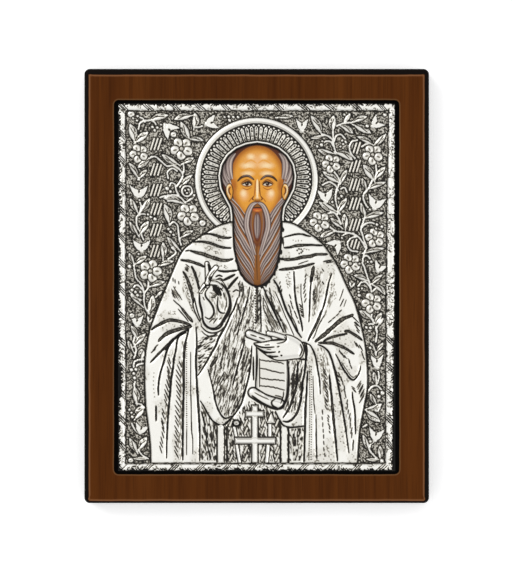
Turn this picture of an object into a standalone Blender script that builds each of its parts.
"""Icon panel: a wooden board with a recess, a painted panel in it, and a silver cover in relief.

Metres, +Z up. The panel lies on its back: +X is the picture's right, +Y its top, and +Z comes out of
its face. The origin is the middle of the board's back.

The relief is drawn on a layout sheet. Its units are SHEET_UNIT wide, u runs to the right and v runs
down, and the board's middle is at SHEET_MIDDLE. Heights of the relief are in millimetres above the
cover's ground.
"""
import math

import bmesh
import bpy
import numpy as np

MM = 0.001

# The board
BOARD_WIDTH = 200 * MM
BOARD_HEIGHT = 252 * MM
BOARD_THICKNESS = 18 * MM
BOARD_CORNER = 3.2 * MM
EDGE_ROUND = 2.3 * MM
BACK_CHAMFER = 0.8 * MM
RECESS_WIDTH = 165.2 * MM
RECESS_HEIGHT = 216.8 * MM
RECESS_DEPTH = 4.0 * MM
RECESS_CORNER = 2.6 * MM
RECESS_ARRIS = 0.9 * MM
RECESS_SHIFT = -0.7 * MM
CORNER_STEPS = 5
ROUND_STEPS = 4

# The painted panel and the cover, one over the other in the recess
GAP = 0.3 * MM
PANEL_WIDTH = 160.0 * MM
PANEL_HEIGHT = 212.6 * MM
PANEL_THICKNESS = 0.8 * MM
PANEL_CORNER = 1.5 * MM
COVER_WIDTH = 160.8 * MM
COVER_HEIGHT = 213.4 * MM
COVER_GROUND = 1.0 * MM
COVER_TRIANGLES = 8300

# The layout sheet of the relief
SHEET_UNIT = BOARD_WIDTH / 345.0
SHEET_MIDDLE = (256.7, 286.0)
CELL = 0.9

# The head opening: its axis, and the half width at stations down the hair and the beard
OPENING_AXIS = 257.3
OPENING_STATIONS = (143.4, 145.0, 149.0, 156.0, 165.0, 176.0, 188.0, 198.0, 207.0, 216.0, 232.0, 248.0,
                    262.0, 273.0, 281.0, 285.0, 286.6)
OPENING_HALF_WIDTHS = (0.0, 10.5, 20.5, 29.0, 34.5, 36.5, 35.0, 30.0, 25.2, 24.0, 24.0, 23.2,
                       20.4, 17.0, 11.2, 5.6, 0.0)
OPENING_BAND = 2.6

# Halo
HALO_CENTRE = (256.4, 179.2)
HALO_RADIUS = 61.6
HALO_RING = 5.5
HALO_RAYS = 66
RAY_START = 40.0
RAY_END = 53.5

# The figure's outline, from the neck down each side to the border
ROBE_LEFT = ((231, 222.7), (218, 226.6), (205.5, 233.6), (192.8, 242.5), (184, 250), (177.7, 261),
             (169, 281.6), (161.7, 299.4), (157.6, 310), (150.2, 330.4), (146.2, 353), (145, 373),
             (146.2, 404.6), (148.5, 423.7), (150.8, 443.8), (151.3, 463))
ROBE_RIGHT = ((357, 463), (358.8, 435), (360.5, 423.7), (364.5, 401.8), (367.2, 385), (366.3, 358.7),
              (362.8, 335), (354.8, 304.5), (346.7, 287.3), (338.7, 269.5), (331.2, 256.5),
              (322.3, 244.4), (309.5, 234.2), (294.2, 224.6), (284, 222.4))
ROBE_EDGE = 1.3
ROBE_SWELL = 1.0

# Grooves between the folds: half width, depth, and the points that the groove runs through
SHOULDER_GROOVES = (
    (3.0, 0.8, ((204, 233.6), (218, 235.2), (231, 238))),
    (3.0, 0.9, ((194, 242), (213, 244), (231, 248.2))),
    (3.2, 0.9, ((185.7, 250.8), (208, 254), (232.3, 259.7))),
    (3.0, 0.7, ((181.3, 259.7), (193, 262.5), (204.2, 266.7))),
    (3.0, 0.7, ((217, 271.2), (228, 271.4), (237.4, 270.6))),
    (3.0, 0.8, ((284.6, 236.8), (298, 237), (310.2, 236.1))),
    (3.0, 0.9, ((284, 247.6), (303, 246.8), (322.3, 245))),
    (3.2, 0.9, ((280.2, 259.1), (304, 258), (328, 254.6))),
    (3.0, 0.8, ((278.9, 269.3), (297, 267.5), (314, 263.5))),
)
LEFT_GROOVES = (
    (3.2, 0.9, ((185, 269), (192, 292), (200, 320))),
    (2.6, 0.7, ((192.7, 265.5), (197.8, 282), (200.3, 291))),
    (3.2, 0.8, ((173.5, 300), (183, 312), (193.9, 321.6))),
    (3.2, 0.8, ((151.8, 329.3), (168.4, 320.4), (178.6, 321), (192.7, 324.8))),
    (2.8, 0.7, ((158.9, 339.5), (168.4, 332.5), (187.6, 328))),
    (3.2, 0.9, ((149.9, 362.4), (165.9, 345.9), (181.2, 333), (190, 328))),
    (3.2, 0.9, ((158.2, 393), (162, 367.6), (168.4, 348.4), (181.2, 334.4))),
    (2.6, 0.8, ((156, 405), (155.5, 424), (157, 446))),
    (3.2, 0.9, ((175.4, 344.6), (172.2, 374), (168.4, 418.6), (167, 461))),
    (3.2, 0.9, ((185.6, 337), (183.1, 367.6), (183, 415), (183, 460))),
    (3.4, 1.0, ((195.8, 331), (197.1, 367.6), (200, 420), (200, 461))),
)
MANTLE_GROOVES = (
    (3.0, 0.9, ((237.7, 277.6), (227.4, 304.5), (221.7, 321.8), (212.5, 340), (209, 357.6), (198, 375.4))),
    (2.6, 0.7, ((237.7, 300), (230.9, 313), (225, 330), (214, 352))),
    (2.6, 0.7, ((222, 335), (213, 362), (213, 384), (219, 409), (226, 418))),
    (2.6, 0.7, ((244, 300), (240, 330), (230, 358), (226, 388))),
    (2.6, 0.7, ((243, 340), (237, 368), (230, 392))),
    (3.2, 1.0, ((197.6, 376), (197.6, 387), (200.4, 400.6), (207, 412), (214.8, 422.6), (221.1, 425.4),
                (227.4, 423.7), (233, 418), (238.9, 408), (244, 395), (248.6, 376), (251.5, 347))),
    (3.0, 1.0, ((257.2, 288), (258, 308), (258.9, 329))),
    (2.6, 0.7, ((249, 290), (249, 310), (247, 330))),
    (2.8, 0.8, ((263.5, 288), (272, 308), (282, 330))),
    (2.8, 0.8, ((274.5, 280), (282, 294), (290, 310), (299, 336))),
)
RIGHT_GROOVES = (
    (3.0, 0.9, ((293.5, 272.5), (294, 285), (297, 300), (303, 330))),
    (2.6, 0.7, ((301, 284), (303, 302), (304, 318))),
    (3.0, 0.8, ((313, 267.5), (312.5, 280), (310, 300), (309, 330))),
    (3.2, 0.9, ((330.5, 275), (328, 290), (321, 311), (314.5, 330), (308.3, 340))),
    (3.6, 1.0, ((349.5, 316), (340, 321), (330, 328), (315.7, 340))),
    (3.0, 0.8, ((319.8, 343.2), (334.7, 343.8), (344.4, 347.8), (354.2, 354))),
    (3.2, 0.9, ((336.4, 355), (344.4, 370), (353, 380.5), (358.8, 375), (361, 366.7))),
    (3.0, 0.9, ((311, 345.5), (317.5, 364), (320.3, 387))),
    (3.4, 1.0, ((323.2, 347), (331.8, 358.7), (335.8, 373), (340.4, 396), (343.9, 421), (348.5, 452))),
    (3.2, 0.9, ((329.5, 375), (331.2, 396), (334, 421), (337.6, 460))),
    (2.8, 0.8, ((313.4, 395), (315.7, 429), (316.9, 458))),
    (2.8, 0.7, ((352.5, 392), (355.3, 415), (355.3, 433))),
    (3.2, 1.0, ((305.5, 360), (305, 410), (306, 461))),
    (2.6, 0.8, ((289, 362), (295, 388), (303, 402))),
    (2.6, 0.8, ((284, 400), (290, 412), (303, 416))),
    (3.0, 0.9, ((275, 411), (281, 422.5), (287.4, 426.7), (295, 427.2), (304, 425.6))),
)

# The raised hand on the left: palm outline, and the fingers as tapering ridges
PALM = ((199.5, 292), (200, 300), (202.5, 310), (203.8, 320), (208, 326), (213, 328.3), (219, 327), (222, 323),
        (229, 311), (230, 304), (229, 296), (226, 289), (222, 281.5), (214, 279.5), (206, 281.5))
RAISED_FINGERS = (
    (2.6, ((207.4, 288), (207.3, 276), (207, 263.5))),
    (2.6, ((207.5, 285), (210.5, 274.5), (216, 267.5))),
    (2.6, ((201.5, 292), (206, 284.5), (212.5, 283), (220.5, 286.5))),
    (2.6, ((207, 301), (212, 296), (218, 297), (224, 303))),
)
HAND_HEIGHT = 0.9
FINGER_HEIGHT = 0.7
# The hand on the right, its thumb and fingers, and the scroll that it holds
HOLDING_HAND = ((283, 335), (294, 334), (303, 339), (306, 348), (303, 358), (292, 360), (280, 360),
                (270, 357.5), (262, 352), (258, 345), (270, 341))
HOLDING_FINGERS = (
    (2.6, ((262, 345.0), (272, 344.6), (284, 343.0))),
    (2.6, ((263, 349.2), (273, 349.4), (286, 348.0))),
    (2.6, ((266, 353.4), (275, 354.0), (287, 353.0))),
    (2.4, ((271, 357.0), (279, 358.0), (288, 357.4))),
    (2.8, ((268, 333.6), (276, 334.6), (285, 338.0))),
)
SCROLL_SHEET = ((257.3, 348), (287, 360), (287.6, 375), (286.6, 395), (284, 404), (268, 400), (256.3, 389))
SCROLL_ROLLS = (
    (4.4, ((247.5, 333.3), (258, 336.8), (269, 340.4))),
    (4.8, ((251.0, 391.0), (264, 398.8), (278.0, 404.0))),
)
SHEET_HEIGHT = 0.7
ROLL_HEIGHT = 1.0

# The hanging panel with the cross: bars as half width, half length, angle and middle
PANEL_LEFT_EDGE = 217.0
PANEL_RIGHT_EDGE = 292.0
CROSS_BARS = (
    (3.2, 28.5, 90.0, (254.5, 434.0)),
    (3.2, 20.0, 0.0, (254.8, 440.5)),
    (2.8, 9.2, 0.0, (254.2, 413.5)),
    (1.8, 22.0, 92.0, (269.3, 438.0)),
    (1.7, 17.0, 78.0, (236.6, 444.0)),
)
CROSS_HEIGHT = 0.8

# Flowers: middle, radius and the way the first petal points, in degrees from the sheet's right, turning up
FLOWERS = ((138.7, 153.5, 9.2, 42), (181.5, 148.5, 11, 50), (188.2, 214.5, 10.8, 50), (150.3, 271, 11, 70),
           (372.8, 154.5, 10, 50), (331.5, 163.5, 9.2, 42), (319.7, 221.8, 10, 42), (375, 238, 9.5, 30),
           (350.5, 263.5, 10, 42), (372, 303, 10, 38))
# Buds: foot, length, the way they point and how far their two petals spread
BUDS = ((165, 125.5, 13, -44, 32), (206.5, 124, 12, 15, 30), (139, 197, 12, 90, 40), (141.5, 250.5, 11, 90, 45),
        (137, 325.5, 11, 90, 28), (140, 433, 10, 75, 35), (149, 322, 6, 70, 35), (302, 130, 12, 90, 22),
        (373, 126, 11, 40, 32), (326, 201, 13, 95, 30), (374.5, 208, 13, 75, 36), (339, 242, 11, 225, 40),
        (378, 271, 10, 65, 35), (351.5, 287, 6, 80, 30), (377, 367, 13, 90, 22), (375, 440, 12.5, 80, 30),
        (369.5, 331, 7, 80, 30))
# Leaves: foot, tip, half width, and how far the rib bows to the left of the way it points
LEAVES = (
    (150, 120.3, 168.5, 115, 3.3, 1.2), (134, 141, 130, 123.5, 4, -1), (135.5, 142.5, 148.5, 131.5, 3.4, 0.5),
    (191.5, 115.5, 174, 119.5, 3.2, -1), (193.8, 128, 195, 112.5, 3.4, -1.5), (189.5, 139, 180.8, 121.5, 3.6, 0.6),
    (189, 138.5, 204, 140.5, 2.4, 0.8), (150, 157.5, 137.5, 168, 3, 0), (178.5, 164.5, 161.5, 154, 3, 0.8),
    (183, 163.5, 194, 157.5, 2.6, 0.4), (139, 178.5, 147, 169.2, 2.5, 0.3), (138, 177.5, 129, 162.5, 2.6, -0.8),
    (181, 186, 192, 174.5, 2.6, 0.3), (137.5, 212, 130, 198, 2.9, 0.6), (141, 211.5, 150, 198, 2.9, -0.4),
    (140, 234, 148.7, 220.8, 3.2, 0.5), (138, 235, 129.5, 221.5, 2.4, 0.6), (182, 203, 163, 198, 3, -1.5),
    (185.5, 202.5, 195.8, 194, 2.4, 0.5), (169, 223, 164.5, 204, 4, -1.2), (181, 237.5, 193.5, 230.5, 2.5, 0.8),
    (179.5, 250, 167, 236.5, 2.8, 1), (163, 258.5, 163, 242, 3, -0.8), (133.5, 262.5, 129, 253, 2.3, 0.4),
    (135, 264.5, 147, 255.5, 2.6, 0.5), (158.5, 266, 174, 261, 2.6, 0.8), (150.5, 286.5, 165, 281.5, 2.7, 0.8),
    (142, 306, 129.8, 294.5, 2.5, -0.8), (148, 313.5, 153, 295, 3.7, -1.2), (137, 338.5, 131, 325.5, 2.8, -0.8),
    (135, 345.5, 145.5, 333.5, 2.8, 0.6), (133, 351, 127.8, 340.5, 2.2, 0.5), (141.5, 359, 141.5, 348.5, 3.4, 0),
    (136.5, 403, 134, 387.5, 3.6, -1), (135.3, 418.8, 143.8, 405.5, 3.9, 0.5), (139, 449.5, 147, 437, 3.4, 0.5),
    (137, 452, 129.3, 438, 3, 0.5), (134, 459, 148, 458.7, 1.9, 0.2), (157, 296, 162, 291, 1.5, 0),
    (277.5, 117.5, 293.5, 116, 2.4, 0.4),
    (321.5, 133.5, 310.8, 115.5, 3.7, -1.2), (333, 131, 334, 115, 3.6, 1.2), (323, 135.5, 310.3, 138.3, 1.9, 0.4),
    (334, 153.5, 317.5, 149.5, 2.9, 0.8), (336, 152.5, 353, 160.5, 3.6, 2.2), (352.5, 122.3, 367.5, 116.3, 2.7, 1),
    (341, 125.8, 353.5, 133.5, 2.9, 1), (354, 125, 371.5, 133.3, 3.5, 0.6), (374, 145.5, 386.3, 133.5, 2.8, -0.5),
    (373.5, 145.3, 357, 136.3, 2.7, -1.2), (338.5, 182.5, 322.5, 171.5, 3.3, -0.6),
    (340.8, 183, 347, 169.5, 2.5, 0.3),
    (373.5, 180, 363, 164.5, 3.9, -1), (376, 178, 385.5, 166.5, 2.9, 0.4), (366.5, 188.5, 362, 178, 2.4, 0.3),
    (368.5, 189, 386, 182, 2.6, 0.8), (336.5, 211.5, 318.5, 201.5, 3.1, 0.8), (338.3, 212.5, 347, 197.5, 2.9, 0.3),
    (341.5, 227.5, 330.5, 218, 2.7, -0.4), (345.5, 229, 344.5, 213.5, 3.3, 0), (334.5, 231.5, 320, 237.3, 2.7, -0.8),
    (365, 216.5, 361, 202.5, 2.2, 0.4), (365, 218, 384, 212.5, 2.9, 0.8), (364.5, 253, 385, 248.3, 2.3, 0.8),
    (368, 281, 353.5, 275.3, 2.6, -1.2), (371, 284.5, 382.5, 274.5, 2.3, 0.4), (373, 285, 386, 295.5, 2.8, 2),
    (372, 318.8, 359.3, 310.5, 3.3, 0), (375.5, 324.5, 381.8, 312.5, 2.7, 0.3), (378, 326, 384, 317.5, 1.5, 0),
    (375.5, 351.5, 370.7, 342.5, 1.9, 0.2), (377, 351.5, 383.5, 342.5, 2.2, 0), (376.5, 384, 373.7, 371.5, 2.4, 0.3),
    (376.5, 404.5, 370, 393.5, 2.4, 0.4), (367, 409, 381, 403.5, 2.7, -1.6), (366, 410.5, 380.5, 422, 3.7, -0.5),
    (369.5, 450.5, 362.8, 434.5, 2.6, 0.3), (380.5, 459.5, 380, 445.5, 2.6, -0.3),
    (379.5, 459.8, 366, 459.5, 1.8, 0.2), (346, 121.5, 350.5, 113.5, 1.7, 0.2))
MOTIF_HEIGHT = 0.8
# Beads: middle and radius
BEADS = ((131, 114, 3.4), (385, 114.8, 2.4), (130.6, 460.5, 2.8), (382, 461, 2.4), (173.5, 134.5, 3),
         (202.5, 223, 3.2), (132, 315.5, 2.6), (155, 129, 3), (136, 118.5, 2.6), (170, 231.5, 2.8),
         (136.5, 293.5, 3), (134, 372.5, 3), (132, 413.5, 2.6), (233, 117.3, 3), (343, 142.5, 3),
         (320, 144.5, 2.6), (379, 226.5, 2.8), (359.5, 291.5, 3), (380.5, 393.5, 2.8))
# Rows of strokes where the writing was: the middles of the groups
STROKE_GROUPS = ((156, 144), (156, 169.5), (156, 190), (156, 209), (156, 230), (156, 251),
                 (355, 148), (355, 166), (355, 184.6), (355, 203.7), (355, 224.7), (355, 245))
STROKE_OFFSETS = (-3.4, 0.0, 3.4)
STROKE_LEAN = 1.6
STROKE_HALF_LENGTH = 5.6
STROKE_HALF_WIDTH = 1.3
STROKE_HEIGHT = 0.5

# Border round the cover
BORDER_WIDTH = 7.2
BORDER_HEIGHT = 1.0
BORDER_GROUP = 27.0
BORDER_STROKES = 4


def remove_everything():
    for thing in list(bpy.data.objects):
        bpy.data.objects.remove(thing, do_unlink=True)


def material(name, colour, roughness, metallic):
    made = bpy.data.materials.new(name)
    made.use_nodes = True
    shader = made.node_tree.nodes["Principled BSDF"]
    shader.inputs["Base Color"].default_value = (*colour, 1.0)
    shader.inputs["Roughness"].default_value = roughness
    shader.inputs["Metallic"].default_value = metallic
    return made


def add_object(name, mesh, finish, height=0.0):
    thing = bpy.data.objects.new(name, mesh)
    thing.data.materials.append(finish)
    thing.location.z = height
    bpy.context.collection.objects.link(thing)
    return thing


# Turned-in rings, for the board and the painted panel

def rounded_rectangle(width, height, radius, level, shift=0.0):
    """Points of a rounded rectangle at one level, always CORNER_STEPS + 1 to a corner."""
    points = []
    corners = ((1, 1, 0), (-1, 1, 90), (-1, -1, 180), (1, -1, 270))
    for side_x, side_y, start in corners:
        middle_x = side_x * (width / 2 - radius)
        middle_y = side_y * (height / 2 - radius) + shift
        for step in range(CORNER_STEPS + 1):
            angle = math.radians(start + 90 * step / CORNER_STEPS)
            points.append((middle_x + radius * math.cos(angle),
                           middle_y + radius * math.sin(angle), level))
    return points


def mesh_from_rings(name, rings):
    """Skin a stack of equal rings, with a flat face on the first and the last."""
    shape = bmesh.new()
    loops = []
    for ring in rings:
        loops.append([shape.verts.new(point) for point in ring])
    for lower, upper in zip(loops[:-1], loops[1:]):
        for i in range(len(lower)):
            after = (i + 1) % len(lower)
            shape.faces.new((lower[i], lower[after], upper[after], upper[i]))
    shape.faces.new(list(reversed(loops[0])))
    shape.faces.new(loops[-1])
    bmesh.ops.triangulate(shape, faces=shape.faces[:])
    bmesh.ops.recalc_face_normals(shape, faces=shape.faces[:])
    mesh = bpy.data.meshes.new(name)
    shape.to_mesh(mesh)
    shape.free()
    return mesh


def make_board():
    """One board: chamfered back, straight sides, rounded front edge and a recess with a small arris."""
    rings = [
        rounded_rectangle(BOARD_WIDTH - 2 * BACK_CHAMFER, BOARD_HEIGHT - 2 * BACK_CHAMFER,
                          BOARD_CORNER - BACK_CHAMFER, 0.0),
        rounded_rectangle(BOARD_WIDTH, BOARD_HEIGHT, BOARD_CORNER, BACK_CHAMFER),
    ]
    for step in range(ROUND_STEPS + 1):
        angle = math.radians(90 * step / ROUND_STEPS)
        inset = EDGE_ROUND * (1 - math.cos(angle))
        level = BOARD_THICKNESS - EDGE_ROUND * (1 - math.sin(angle))
        rings.append(rounded_rectangle(BOARD_WIDTH - 2 * inset, BOARD_HEIGHT - 2 * inset,
                                       BOARD_CORNER - inset, level))
    floor = BOARD_THICKNESS - RECESS_DEPTH
    rings.append(rounded_rectangle(RECESS_WIDTH + 2 * RECESS_ARRIS, RECESS_HEIGHT + 2 * RECESS_ARRIS,
                                   RECESS_CORNER + RECESS_ARRIS, BOARD_THICKNESS, RECESS_SHIFT))
    rings.append(rounded_rectangle(RECESS_WIDTH, RECESS_HEIGHT, RECESS_CORNER,
                                   BOARD_THICKNESS - RECESS_ARRIS, RECESS_SHIFT))
    rings.append(rounded_rectangle(RECESS_WIDTH, RECESS_HEIGHT, RECESS_CORNER, floor, RECESS_SHIFT))
    finish = material("stained wood", (0.093, 0.030, 0.009), 0.42, 0.0)
    return add_object("wooden_board", mesh_from_rings("wooden_board", rings), finish)


def make_painted_panel():
    """A thin flat panel on the floor of the recess."""
    rings = [
        rounded_rectangle(PANEL_WIDTH, PANEL_HEIGHT, PANEL_CORNER, 0.0, RECESS_SHIFT),
        rounded_rectangle(PANEL_WIDTH, PANEL_HEIGHT, PANEL_CORNER, PANEL_THICKNESS, RECESS_SHIFT),
    ]
    finish = material("painted", (0.42, 0.22, 0.10), 0.5, 0.0)
    level = BOARD_THICKNESS - RECESS_DEPTH + GAP
    return add_object("painted_panel", mesh_from_rings("painted_panel", rings), finish, level)


# The relief, a height map drawn with lines, domes and outlines

def smooth_line(points, steps=6):
    """A Catmull-Rom curve through the points."""
    places = [points[0], *points, points[-1]]
    line = []
    for i in range(1, len(places) - 2):
        a, b, c, d = (np.array(place, dtype=float) for place in places[i - 1:i + 3])
        for step in range(steps):
            t = step / steps
            line.append(0.5 * (2 * b + (c - a) * t + (2 * a - 5 * b + 4 * c - d) * t ** 2
                               + (3 * b - a - 3 * c + d) * t ** 3))
    line.append(np.array(points[-1], dtype=float))
    return np.array(line)


def line_distance(u, v, line):
    """Distance to a line, and how far along the line its nearest point is, from 0 to 1."""
    nearest = np.full(u.shape, 1e6)
    along = np.zeros(u.shape)
    for i, (start, end) in enumerate(zip(line[:-1], line[1:])):
        run_u, run_v = end - start
        length_squared = max(run_u ** 2 + run_v ** 2, 1e-9)
        t = np.clip(((u - start[0]) * run_u + (v - start[1]) * run_v) / length_squared, 0, 1)
        distance = np.hypot(u - start[0] - t * run_u, v - start[1] - t * run_v)
        closer = distance < nearest
        nearest = np.where(closer, distance, nearest)
        along = np.where(closer, (i + t) / (len(line) - 1), along)
    return nearest, along


def inside_outline(u, v, outline):
    """True inside a closed outline, by counting the edges to the right."""
    inside = np.zeros(u.shape, dtype=bool)
    for start, end in zip(outline, np.roll(outline, -1, axis=0)):
        if start[1] == end[1]:
            continue
        spans = (start[1] > v) != (end[1] > v)
        crossing = start[0] + (v - start[1]) * (end[0] - start[0]) / (end[1] - start[1])
        inside ^= spans & (u < crossing)
    return inside


def signed_distance(u, v, outline):
    """Distance to a closed outline, positive inside it."""
    closed = np.vstack([outline, outline[:1]])
    distance, _ = line_distance(u, v, closed)
    return np.where(inside_outline(u, v, outline), distance, -distance)


def ease(value):
    value = np.clip(value, 0, 1)
    return value * value * (3 - 2 * value)


def opening_outline(steps=72):
    """The closed outline of the head opening, down the right side and up the left."""
    turns = np.linspace(0, 1, steps)
    stations = np.interp(turns, np.linspace(0, 1, len(OPENING_STATIONS)), OPENING_STATIONS)
    widths = np.interp(stations, OPENING_STATIONS, OPENING_HALF_WIDTHS)
    right = np.column_stack([OPENING_AXIS + widths, stations])
    left = np.column_stack([OPENING_AXIS - widths, stations])[1:-1][::-1]
    return np.vstack([right, left])


class Relief:
    """Heights over the cover on a regular grid of the layout sheet."""

    def __init__(self):
        half_u = COVER_WIDTH / SHEET_UNIT / 2
        half_v = COVER_HEIGHT / SHEET_UNIT / 2
        middle_v = SHEET_MIDDLE[1] - RECESS_SHIFT / SHEET_UNIT
        self.left = SHEET_MIDDLE[0] - half_u
        self.top = middle_v - half_v
        self.right = SHEET_MIDDLE[0] + half_u
        self.bottom = middle_v + half_v
        self.columns = int(round(2 * half_u / CELL)) + 1
        self.rows = int(round(2 * half_v / CELL)) + 1
        across = np.linspace(self.left, self.right, self.columns)
        down = np.linspace(self.top, self.bottom, self.rows)
        self.u, self.v = np.meshgrid(across, down)
        self.z = np.zeros(self.u.shape)

    def window(self, line, reach):
        """The part of the grid that holds a line and its surroundings."""
        line = np.asarray(line, dtype=float)
        low = (line.min(axis=0) - reach - (self.left, self.top)) / CELL
        high = (line.max(axis=0) + reach - (self.left, self.top)) / CELL
        rows = slice(max(int(low[1]) - 1, 0), max(int(high[1]) + 2, 0))
        columns = slice(max(int(low[0]) - 1, 0), max(int(high[0]) + 2, 0))
        return rows, columns

    def groove(self, points, half_width, depth, blunt=0.25):
        """Sink a rounded groove along a smooth line, narrow at its ends."""
        line = smooth_line(points)
        area = self.window(line, 2 * half_width)
        distance, along = line_distance(self.u[area], self.v[area], line)
        taper = blunt + (1 - blunt) * np.sqrt(np.sin(np.pi * np.clip(along, 0, 1)))
        across = np.clip(distance / (half_width * taper), 0, 1)
        self.z[area] -= depth * taper * (1 - across ** 2) ** 2

    def ridges(self, bars, height):
        """Raise rounded ridges along smooth lines, all over the same surface."""
        ground = self.z.copy()
        for half_width, points in bars:
            line = smooth_line(points)
            area = self.window(line, half_width)
            distance, _ = line_distance(self.u[area], self.v[area], line)
            across = np.clip(distance / half_width, 0, 1)
            raised = ground[area] + height * np.sqrt(np.clip(1 - across ** 2, 0, 1))
            self.z[area] = np.where(distance < half_width, np.maximum(self.z[area], raised), self.z[area])

    def patch(self, outline, height, edge, smooth=True):
        """Raise everything inside a closed outline by a plateau with an eased edge."""
        shape = smooth_line([*outline, outline[0]])[:-1] if smooth else np.array(outline, dtype=float)
        area = self.window(shape, edge)
        distance = signed_distance(self.u[area], self.v[area], shape)
        self.z[area] += height * ease(distance / edge)

    def dome(self, middle, radius_u, radius_v, angle, height):
        """Raise an oval dome, turned by an angle."""
        area = self.window([middle], max(radius_u, radius_v))
        turn = math.radians(angle)
        du = self.u[area] - middle[0]
        dv = self.v[area] - middle[1]
        along = (du * math.cos(turn) - dv * math.sin(turn)) / radius_u
        across = (du * math.sin(turn) + dv * math.cos(turn)) / radius_v
        reach = along ** 2 + across ** 2
        raised = height * np.sqrt(np.clip(1 - reach, 0, 1))
        self.z[area] = np.maximum(self.z[area], raised)

    def leaf(self, foot_u, foot_v, tip_u, tip_v, wide, bow):
        """Raise a pointed leaf with a sunk, bowed rib."""
        foot = np.array((foot_u, foot_v), dtype=float)
        run = np.array((tip_u, tip_v)) - foot
        length = np.hypot(*run)
        area = self.window([foot, foot + run], wide + abs(bow))
        along = ((self.u[area] - foot[0]) * run[0] + (self.v[area] - foot[1]) * run[1]) / length ** 2
        across = ((self.u[area] - foot[0]) * run[1] - (self.v[area] - foot[1]) * run[0]) / length
        swell = np.sin(np.pi * np.clip(along, 0, 1))
        across = across - bow * swell
        half_width = wide * swell ** 0.7 + 1e-6
        share = np.abs(across) / half_width
        raised = MOTIF_HEIGHT * np.sqrt(np.clip(1 - share ** 2, 0, 1)) * (0.6 + 0.4 * ease(share * 2))
        inside = (along > 0) & (along < 1) & (share < 1)
        self.z[area] = np.where(inside, np.maximum(self.z[area], raised), self.z[area])


def draw_border(relief):
    """A rounded border with groups of slanted strokes, turning the other way in every second group."""
    edge = np.minimum(np.minimum(relief.u - relief.left, relief.right - relief.u),
                      np.minimum(relief.v - relief.top, relief.bottom - relief.v))
    upright = np.minimum(relief.u - relief.left, relief.right - relief.u) <= edge + 1e-9
    run = np.where(upright, relief.v - relief.top, relief.u - relief.left)
    group = np.floor(run / BORDER_GROUP)
    lean = np.where(group % 2 == 0, 1.0, -1.0)
    phase = (run - group * BORDER_GROUP) / BORDER_GROUP + lean * edge / BORDER_GROUP
    strokes = 0.5 + 0.5 * np.cos(2 * np.pi * BORDER_STROKES * phase)
    across = np.clip(1 - (2 * edge / BORDER_WIDTH - 1) ** 2, 0, 1)
    band = BORDER_HEIGHT * np.sqrt(across) * (0.65 + 0.35 * strokes)
    relief.z = np.where(edge < BORDER_WIDTH, np.maximum(relief.z, band), relief.z)


def draw_halo(relief, opening):
    """A ring, rays between the ring and the head, and a narrow band round the opening."""
    radius = np.hypot(relief.u - HALO_CENTRE[0], relief.v - HALO_CENTRE[1])
    angle = np.arctan2(relief.v - HALO_CENTRE[1], relief.u - HALO_CENTRE[0])
    ring = np.clip(1 - (2 * (HALO_RADIUS - radius) / HALO_RING - 1) ** 2, 0, 1)
    ray_length = ease((radius - RAY_START) / 2) * ease((RAY_END - radius) / 3)
    rays = (0.5 + 0.5 * np.cos(angle * HALO_RAYS)) * ray_length
    disc = 0.25 * ease((HALO_RADIUS - radius) / 2)
    band = 0.45 * ease((opening + OPENING_BAND) / 1.2)
    shape = disc + 0.75 * np.sqrt(ring) + 0.5 * rays + np.where(radius < RAY_START, band, 0)
    relief.z = np.where(radius < HALO_RADIUS, shape, relief.z)


def draw_ground(relief):
    """Flowers, buds, leaves, beads and strokes on the ground beside the figure."""
    for leaf in LEAVES:
        relief.leaf(*leaf)
    for foot_u, foot_v, length, turn, spread in BUDS:
        for side in (-1, 1):
            way = math.radians(turn + side * spread)
            tip_u = foot_u + length * math.cos(way)
            tip_v = foot_v - length * math.sin(way)
            relief.leaf(foot_u, foot_v, tip_u, tip_v, 0.24 * length, 0.10 * length * side)
        relief.dome((foot_u, foot_v), 0.24 * length, 0.24 * length, 0, MOTIF_HEIGHT)
    for middle_u, middle_v, radius, first in FLOWERS:
        for petal in range(5):
            turn = first + 72 * petal
            reach = 0.60 * radius
            place = (middle_u + reach * math.cos(math.radians(turn)),
                     middle_v - reach * math.sin(math.radians(turn)))
            relief.dome(place, 0.42 * radius, 0.35 * radius, turn, MOTIF_HEIGHT)
        relief.dome((middle_u, middle_v), 0.22 * radius, 0.22 * radius, 0, 1.3 * MOTIF_HEIGHT)
    for middle_u, middle_v, radius in BEADS:
        relief.dome((middle_u, middle_v), radius, radius, 0, MOTIF_HEIGHT)
    strokes = []
    for middle_u, middle_v in STROKE_GROUPS:
        for offset in STROKE_OFFSETS:
            foot = (middle_u + offset - STROKE_LEAN, middle_v + STROKE_HALF_LENGTH)
            head = (middle_u + offset + STROKE_LEAN, middle_v - STROKE_HALF_LENGTH)
            strokes.append((STROKE_HALF_WIDTH, (foot, head)))
    relief.ridges(strokes, STROKE_HEIGHT)


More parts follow.
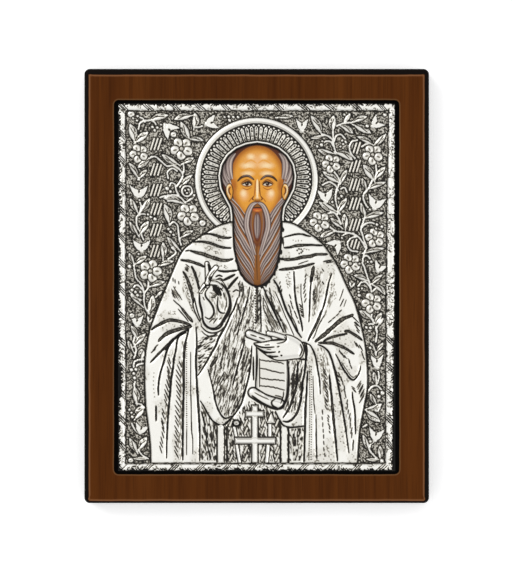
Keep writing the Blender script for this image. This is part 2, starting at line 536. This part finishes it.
def draw_figure(relief):
    """The robed figure: a swelling body, grooves between its folds, hands, scroll and hanging panel."""
    left = smooth_line(ROBE_LEFT, 3)
    right = smooth_line(ROBE_RIGHT, 3)
    robe = signed_distance(relief.u, relief.v, np.vstack([left, right]))
    body = ROBE_EDGE * ease((robe + 0.5) / 4.5) + ROBE_SWELL * (1 - np.exp(-np.clip(robe, 0, None) / 30))
    relief.z = np.where(robe > -0.5, np.maximum(body, 0.0), relief.z)
    for half_width, depth, points in (*SHOULDER_GROOVES, *LEFT_GROOVES, *MANTLE_GROOVES, *RIGHT_GROOVES):
        relief.groove(points, half_width, depth)
    relief.patch(PALM, HAND_HEIGHT, 5)
    relief.ridges(RAISED_FINGERS, FINGER_HEIGHT)
    relief.patch(SCROLL_SHEET, SHEET_HEIGHT, 1.6, smooth=False)
    relief.ridges(SCROLL_ROLLS, ROLL_HEIGHT)
    relief.patch(HOLDING_HAND, HAND_HEIGHT, 5)
    relief.ridges(HOLDING_FINGERS, FINGER_HEIGHT)
    for edge in (PANEL_LEFT_EDGE, PANEL_RIGHT_EDGE):
        relief.groove(((edge, 424), (edge, 442), (edge, 461)), 2.4, 0.7, blunt=0.8)
    bars = []
    for half_width, half_length, angle, middle in CROSS_BARS:
        way = np.array((math.cos(math.radians(angle)), math.sin(math.radians(angle))))
        relief.groove((middle - 1.05 * half_length * way, middle + 1.05 * half_length * way),
                      2.0 * half_width, 0.5, blunt=0.9)
        bars.append((half_width, (middle - half_length * way, middle + half_length * way)))
    relief.ridges(bars, CROSS_HEIGHT)
    return robe


def cover_grid():
    """Heights and opening distances of the whole cover."""
    relief = Relief()
    opening = signed_distance(relief.u, relief.v, opening_outline())
    draw_ground(relief)
    draw_halo(relief, opening)
    draw_figure(relief)
    draw_border(relief)
    relief.z = np.clip(relief.z, -0.35, None)
    return relief, opening


def make_cover():
    """The cover as a closed slab: relief above, flat below, and a wall round it and round the opening."""
    relief, opening = cover_grid()
    x = (relief.u - SHEET_MIDDLE[0]) * SHEET_UNIT
    y = (SHEET_MIDDLE[1] - relief.v) * SHEET_UNIT
    top = np.stack([x, y, COVER_GROUND + relief.z * MM], axis=-1).reshape(-1, 3)
    back = np.stack([x, y, np.zeros(x.shape)], axis=-1).reshape(-1, 3)
    outside = opening[:-1, :-1] + opening[1:, :-1] + opening[:-1, 1:] + opening[1:, 1:] < 0
    index = np.arange(relief.rows * relief.columns).reshape(relief.rows, relief.columns)
    quads = np.stack([index[:-1, :-1], index[1:, :-1], index[1:, 1:], index[:-1, 1:]], axis=-1)[outside]

    # Pull the edge of the opening onto its outline
    slope_v, slope_u = np.gradient(opening, relief.v[1, 0] - relief.v[0, 0], relief.u[0, 1] - relief.u[0, 0])
    edges = np.concatenate([quads[:, [i, (i + 1) % 4]] for i in range(4)])
    keys = np.sort(edges, axis=1)
    _, first, counts = np.unique(keys, axis=0, return_index=True, return_counts=True)
    rim = edges[first[counts == 1]]
    rim_points = np.unique(rim)
    near = rim_points[np.abs(opening.reshape(-1)[rim_points]) < 2 * CELL]
    shift = opening.reshape(-1)[near]
    for points in (top, back):
        points[near, 0] -= shift * slope_u.reshape(-1)[near] * SHEET_UNIT
        points[near, 1] += shift * slope_v.reshape(-1)[near] * SHEET_UNIT

    count = len(top)
    walls = np.column_stack([rim[:, 1], rim[:, 0], rim[:, 0] + count, rim[:, 1] + count])
    faces = np.vstack([quads, quads[:, ::-1] + count, walls])
    used, renumbered = np.unique(faces, return_inverse=True)
    points = np.vstack([top, back])[used]
    mesh = bpy.data.meshes.new("silver_cover")
    mesh.from_pydata(points.tolist(), [], renumbered.reshape(-1, 4).tolist())
    mesh.validate()

    finish = material("silver", (0.60, 0.60, 0.57), 0.34, 1.0)
    level = BOARD_THICKNESS - RECESS_DEPTH + PANEL_THICKNESS + 2 * GAP
    cover = add_object("silver_cover", mesh, finish, level)
    fewer = cover.modifiers.new("fewer faces", "DECIMATE")
    fewer.ratio = COVER_TRIANGLES / (2 * len(faces))
    return cover


def main():
    remove_everything()
    make_board()
    make_painted_panel()
    make_cover()


main()
